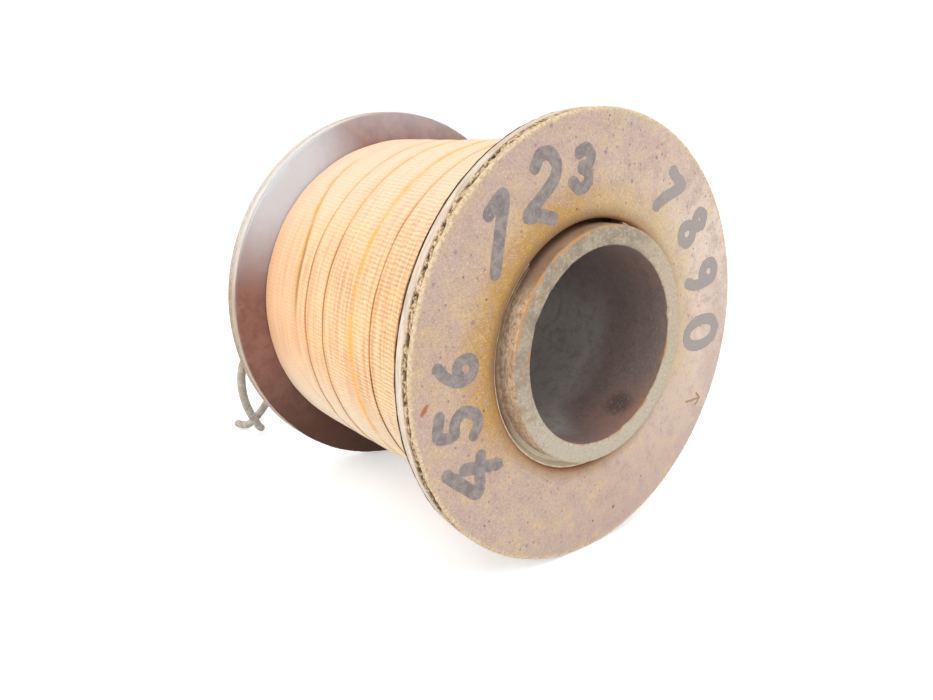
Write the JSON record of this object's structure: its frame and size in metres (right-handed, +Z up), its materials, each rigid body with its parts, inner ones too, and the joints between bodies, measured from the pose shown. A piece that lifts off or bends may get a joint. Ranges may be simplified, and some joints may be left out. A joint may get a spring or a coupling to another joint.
{
  "type": "taped coil on a flanged steel bobbin",
  "caption": "Wire coil bound in cotton tape between round steel flanges on a thick core tube, with short insulated leads out of the rear flange.",
  "frame": {"origin": "centre of the core tube's bore, halfway along it", "axes": "+X to the right seen from the marked front flange, +Y along the bore from the front flange to the rear flange, +Z up as the bobbin lies on its flanges"},
  "size_m": [0.072, 0.0921, 0.072],
  "materials": {
    "tube_steel": "dull grey-beige cut end, dark oxide in the bore, rust at the edges",
    "flange_steel": "dull yellow-passivated plate, mottled ochre and mauve, with fine pits",
    "ring_steel": "dark grey-brown with a bright worn lip",
    "dark_fibre": "dark vulcanised fibre, matt",
    "red_fibre": "red-brown vulcanised fibre, matt and mottled",
    "insulating_paper": "kraft paper",
    "enamelled_wire": "glossy brown wire enamel",
    "cotton_tape": "woven cotton tape, peach-tan, with golden varnish along the edges",
    "bare_wire": "bare copper",
    "splice_sleeve": "varnished cotton sleeving",
    "bushing_rubber": "dark brown rubber",
    "lead_insulation": "matt grey insulation, lightly soiled"
  },
  "bodies": {
    "root": {"core_tube": "tube_steel", "front_flange": "flange_steel", "rear_flange": "flange_steel", "front_split_ring": "ring_steel", "rear_split_ring": "ring_steel", "front_fibre_washer": "dark_fibre", "rear_fibre_washer": "red_fibre", "core_paper": "insulating_paper", "inner_wire_layers": "enamelled_wire", "layer_paper": "insulating_paper", "outer_wire_layers": "enamelled_wire", "wrap_paper": "insulating_paper", "tape_underlap": "cotton_tape", "cotton_tape": "cotton_tape", "start_wire": "bare_wire", "finish_wire": "bare_wire", "start_splice": "splice_sleeve", "finish_splice": "splice_sleeve", "start_bushing": "bushing_rubber", "finish_bushing": "bushing_rubber", "start_lead": "lead_insulation", "finish_lead": "lead_insulation"}
  },
  "joints": []
}
